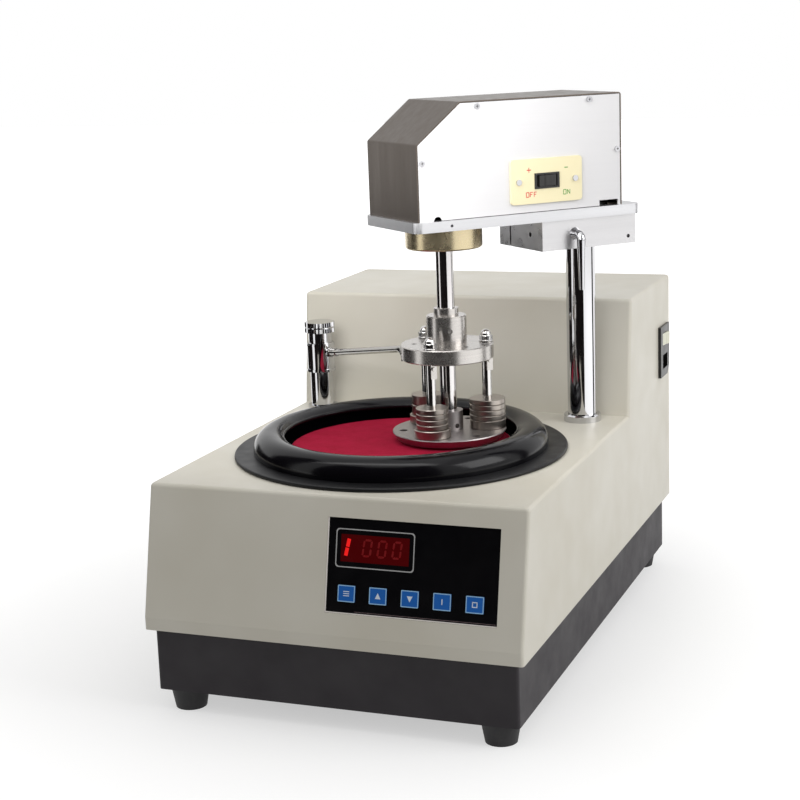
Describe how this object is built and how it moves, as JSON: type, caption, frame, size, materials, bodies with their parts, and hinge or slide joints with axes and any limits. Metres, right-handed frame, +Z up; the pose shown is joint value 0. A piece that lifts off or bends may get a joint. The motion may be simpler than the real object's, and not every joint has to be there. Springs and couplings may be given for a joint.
{
  "type": "metallographic polishing machine",
  "caption": "Bench polishing machine with a red cloth turntable in a black bowl, a sloping control panel, a water tap and a column-mounted powered specimen head.",
  "frame": {"origin": "on the floor plane that the feet stand on, under the middle of the cabinet's width and depth", "axes": "+Z up, the sloping control panel faces -Y, the head's column stands on the +X side; +Y is the longest extent and +X the shortest"},
  "size_m": [0.414, 0.635, 0.5845],
  "materials": {
    "cream_paint": "satin",
    "dark_paint": "satin",
    "foot_rubber": "matte",
    "fastener_steel": "polished",
    "basin_black": "glossy",
    "ring_black": "glossy",
    "pipe_plastic": "matte",
    "copper_pipe": "satin",
    "cast_grey": "matte",
    "bearing_steel": "satin",
    "chassis_steel": "satin",
    "motor_paint": "satin",
    "belt_rubber": "matte",
    "panel_black": "satin",
    "display_red": "glossy",
    "board_green": "matte",
    "inlet_black": "satin",
    "column_chrome": "polished",
    "tap_chrome": "polished",
    "shaft_steel": "polished",
    "platen_aluminium": "satin",
    "cloth_red": "matte",
    "key_blue": "satin",
    "bush_brass": "satin",
    "plate_aluminium": "satin",
    "hood_steel": "brushed",
    "side_steel": "polished",
    "switch_cream": "satin",
    "switch_black": "satin",
    "gearmotor_paint": "satin",
    "flange_brass": "machined",
    "lever_chrome": "polished",
    "holder_steel": "machined",
    "plunger_steel": "polished",
    "weight_steel": "machined"
  },
  "bodies": {
    "machine": {"base_tray": "dark_paint", "top_cover": "cream_paint", "rear_panel": "cream_paint", "rubber_feet": "foot_rubber", "case_screws": "fastener_steel", "splash_basin": "basin_black", "drain_pipe": "pipe_plastic", "supply_pipe": "copper_pipe", "bearing_housing": "cast_grey", "spindle_bearings": "bearing_steel", "chassis_frame": "chassis_steel", "drive_motor": "motor_paint", "drive_belt": "belt_rubber", "control_panel": "panel_black", "display_window": "display_red", "control_board": "board_green", "power_inlet": "inlet_black", "column": "column_chrome", "column_collar": "column_chrome", "column_base": "cast_grey", "deck_nuts": "fastener_steel", "tap_pillar": "tap_chrome"},
    "ring": {"splash_ring": "ring_black"},
    "turntable": {"platen_spindle": "shaft_steel", "platen": "platen_aluminium", "polishing_cloth": "cloth_red", "driven_pulley": "platen_aluminium"},
    "motor_rotor": {"motor_pulley": "platen_aluminium"},
    "key_function": {"function_key": "key_blue"},
    "key_up": {"up_key": "key_blue"},
    "key_down": {"down_key": "key_blue"},
    "key_start": {"start_key": "key_blue"},
    "key_stop": {"stop_key": "key_blue"},
    "mains_switch": {"power_rocker": "inlet_black"},
    "tap": {"tap_body": "tap_chrome", "water_tube": "tap_chrome"},
    "tap_handle": {"tap_knob": "tap_chrome"},
    "lift": {"column_bush": "bush_brass"},
    "head": {"head_plate": "plate_aluminium", "clamp_block": "plate_aluminium", "head_cover": "hood_steel", "near_side_plate": "side_steel", "far_side_plate": "side_steel", "cover_screws": "fastener_steel", "switch_plate": "switch_cream", "rocker_switch": "switch_black", "head_motor": "gearmotor_paint", "bearing_flange": "flange_brass"},
    "lever": {"clamp_lever": "lever_chrome"},
    "head_switch": {"head_rocker": "switch_black"},
    "holder": {"head_spindle": "shaft_steel", "hub_sleeve": "holder_steel", "carrier_flange": "holder_steel", "holder_plate": "holder_steel"},
    "front_plunger": {"plunger_front": "plunger_steel", "weights_front": "weight_steel"},
    "right_plunger": {"plunger_right": "plunger_steel", "weights_right": "weight_steel"},
    "left_plunger": {"plunger_left": "plunger_steel", "weights_left": "weight_steel"}
  },
  "joints": [
    {"name": "turntable_spin", "type": "hinge", "parent": "machine", "child": "turntable", "pos_m": [0, -0.0935, 0.2], "axis": [0, 0, 1], "continuous": true},
    {"name": "motor_spin", "type": "hinge", "parent": "machine", "child": "motor_rotor", "pos_m": [0, 0.192, 0.1], "axis": [0, 0, 1], "continuous": true},
    {"name": "ring_lift", "type": "slide", "parent": "machine", "child": "ring", "axis": [0, 0, 1], "range_m": [0, 0.028]},
    {"name": "function_key_press", "type": "slide", "parent": "machine", "child": "key_function", "axis": [0, 0.9742, -0.2257], "range_m": [0, 0.0005], "stiffness_N_per_m": 150, "springref_m": -0.0005},
    {"name": "up_key_press", "type": "slide", "parent": "machine", "child": "key_up", "axis": [0, 0.9742, -0.2257], "range_m": [0, 0.0005], "stiffness_N_per_m": 150, "springref_m": -0.0005},
    {"name": "down_key_press", "type": "slide", "parent": "machine", "child": "key_down", "axis": [0, 0.9742, -0.2257], "range_m": [0, 0.0005], "stiffness_N_per_m": 150, "springref_m": -0.0005},
    {"name": "start_key_press", "type": "slide", "parent": "machine", "child": "key_start", "axis": [0, 0.9742, -0.2257], "range_m": [0, 0.0005], "stiffness_N_per_m": 150, "springref_m": -0.0005},
    {"name": "stop_key_press", "type": "slide", "parent": "machine", "child": "key_stop", "axis": [0, 0.9742, -0.2257], "range_m": [0, 0.0005], "stiffness_N_per_m": 150, "springref_m": -0.0005},
    {"name": "mains_rocker", "type": "hinge", "parent": "machine", "child": "mains_switch", "pos_m": [0.19575, 0.269, 0.285], "axis": [0, 0, 1], "range_deg": [0, 20]},
    {"name": "tap_swivel", "type": "hinge", "parent": "machine", "child": "tap", "pos_m": [-0.163, 0.08, 0.29], "axis": [0, 0, 1], "range_deg": [-10, 30]},
    {"name": "tap_turn", "type": "hinge", "parent": "tap", "child": "tap_handle", "pos_m": [-0.163, 0.08, 0.32], "axis": [0, 0, 1], "range_deg": [0, 270]},
    {"name": "head_lift", "type": "slide", "parent": "machine", "child": "lift", "axis": [0, 0, 1], "range_m": [0, 0.06]},
    {"name": "head_swing", "type": "hinge", "parent": "lift", "child": "head", "pos_m": [0.149, 0.076, 0.44], "axis": [0, 0, 1], "range_deg": [-8, 4]},
    {"name": "clamp_turn", "type": "hinge", "parent": "head", "child": "lever", "pos_m": [0.16511, -0.00175, 0.443], "axis": [-0.7431, 0.6691, 0], "range_deg": [-40, 60]},
    {"name": "head_rocker_tip", "type": "hinge", "parent": "head", "child": "head_switch", "pos_m": [0.1437, -0.03361, 0.501], "axis": [0, 0, 1], "range_deg": [-16, 0]},
    {"name": "holder_spin", "type": "hinge", "parent": "head", "child": "holder", "pos_m": [0.04379, -0.06476, 0.4], "axis": [0, 0, 1], "continuous": true},
    {"name": "front_plunger_lift", "type": "slide", "parent": "holder", "child": "front_plunger", "axis": [0, 0, 1], "range_m": [0, 0.02]},
    {"name": "right_plunger_lift", "type": "slide", "parent": "holder", "child": "right_plunger", "axis": [0, 0, 1], "range_m": [0, 0.02]},
    {"name": "left_plunger_lift", "type": "slide", "parent": "holder", "child": "left_plunger", "axis": [0, 0, 1], "range_m": [0, 0.02]}
  ],
  "couplings": [
    {"joint": "motor_spin", "follows": "turntable_spin", "ratio": 2}
  ]
}
